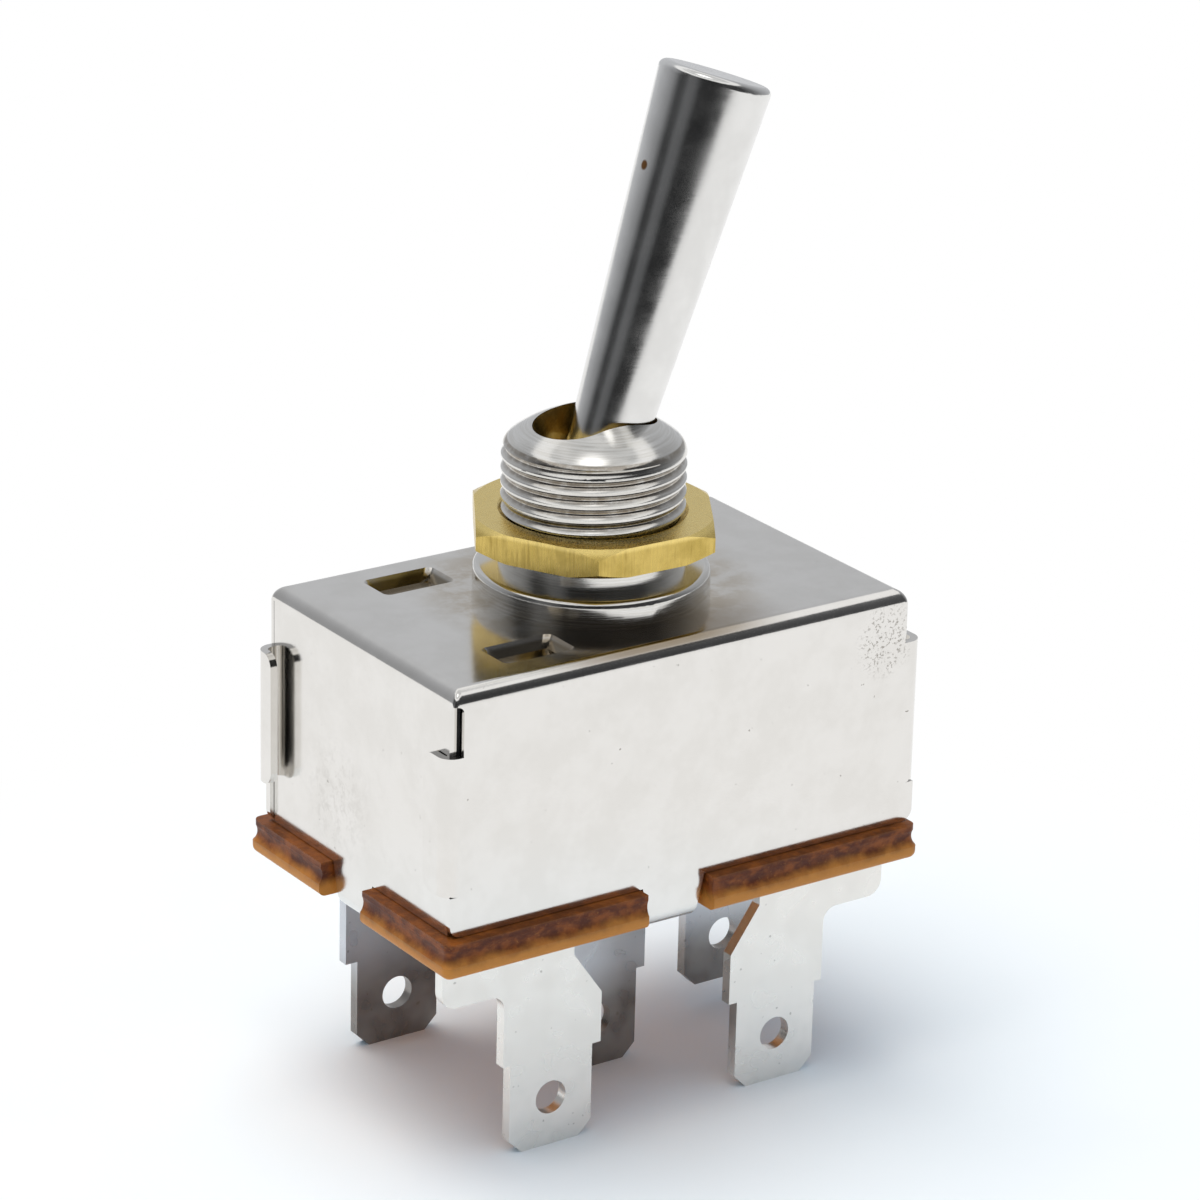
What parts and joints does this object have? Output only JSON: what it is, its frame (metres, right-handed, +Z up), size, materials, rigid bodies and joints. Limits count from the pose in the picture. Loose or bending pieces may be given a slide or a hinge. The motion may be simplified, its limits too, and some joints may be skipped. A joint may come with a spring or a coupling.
{
  "type": "power take-off switch",
  "caption": "Toggle switch for a power take-off: threaded bushing with hex nut, tapered metal lever, folded metal case on a moulded base, flat blade terminals below.",
  "frame": {"origin": "centre of the bounding box at the tips of the blades it stands on", "axes": "+X along the case, the way the lever leans at rest; -Y out of the pictured long face; +Z up along the bushing"},
  "size_m": [0.0376, 0.024, 0.0675],
  "materials": {
    "plated_steel": "satin nickel plate",
    "plated_brass": "bright nickel plate",
    "bare_brass": "machined",
    "chrome": "polished",
    "steel": "plain",
    "phenolic": "moulded, slightly translucent",
    "fibre": "pressed fibre",
    "plated_blade": "satin plate",
    "copper": "plain",
    "silver": "plain"
  },
  "bodies": {
    "housing": {"case": "plated_steel", "bushing": "plated_brass", "hex_nut": "bare_brass", "pivot_pin": "steel", "pivot_sleeve": "steel", "base": "phenolic", "case_liner": "fibre", "inner_cover": "phenolic", "terminal_front_left": "plated_blade", "terminal_front_right": "plated_blade", "terminal_rear_left": "plated_blade", "terminal_centre": "plated_blade", "terminal_rear_right": "plated_blade"},
    "lever_arm": {"lever": "chrome"},
    "slider": {"carriage": "phenolic", "detent_spring": "steel", "front_contact_spring": "steel", "rear_contact_spring": "steel"},
    "front_contact": {"front_bridge": "copper", "front_buttons": "silver"},
    "rear_contact": {"rear_bridge": "copper", "rear_buttons": "silver"}
  },
  "joints": [
    {"name": "lever_pivot", "type": "hinge", "parent": "housing", "child": "lever_arm", "pos_m": [0, 0, 0.0406], "axis": [0, 1, 0], "range_deg": [-37.2, 0], "deforming": ["detent_spring"]},
    {"name": "carriage_slide", "type": "slide", "parent": "housing", "child": "slider", "axis": [1, 0, 0], "range_m": [0, 0.0089]},
    {"name": "front_contact_float", "type": "slide", "parent": "slider", "child": "front_contact", "axis": [0, 0, 1], "range_m": [0, 0.0004], "stiffness_N_per_m": 500, "springref_m": -0.003, "deforming": ["front_contact_spring"]},
    {"name": "rear_contact_float", "type": "slide", "parent": "slider", "child": "rear_contact", "axis": [0, 0, 1], "range_m": [0, 0.0004], "stiffness_N_per_m": 500, "springref_m": -0.003, "deforming": ["rear_contact_spring"]}
  ],
  "couplings": [
    {"joint": "carriage_slide", "follows": "lever_pivot", "m_per_rad": -0.0137}
  ]
}
